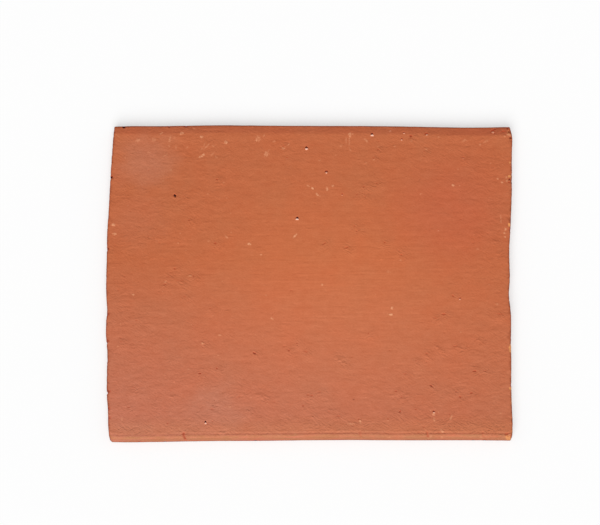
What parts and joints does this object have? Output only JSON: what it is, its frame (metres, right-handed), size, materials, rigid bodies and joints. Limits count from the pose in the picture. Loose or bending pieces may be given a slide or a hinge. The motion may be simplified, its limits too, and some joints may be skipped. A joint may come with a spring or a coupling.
{
  "type": "clay roof tile",
  "caption": "Thin flat rectangular tile of unglazed fired clay, with die-formed long edges and wire-cut ends, laid under or between roof battens as a lining or plain cover.",
  "frame": {"origin": "centre of the underside's bounding rectangle, on the face that the tile lies on", "axes": "+X along the ribbon that the die forms, which is the long side; +Y towards the edge whose upper face falls away; +Z out of the weather face"},
  "size_m": [0.17, 0.14, 0.005],
  "materials": {
    "fired_clay": "matte"
  },
  "bodies": {
    "root": {"clay_tile": "fired_clay"}
  },
  "joints": []
}
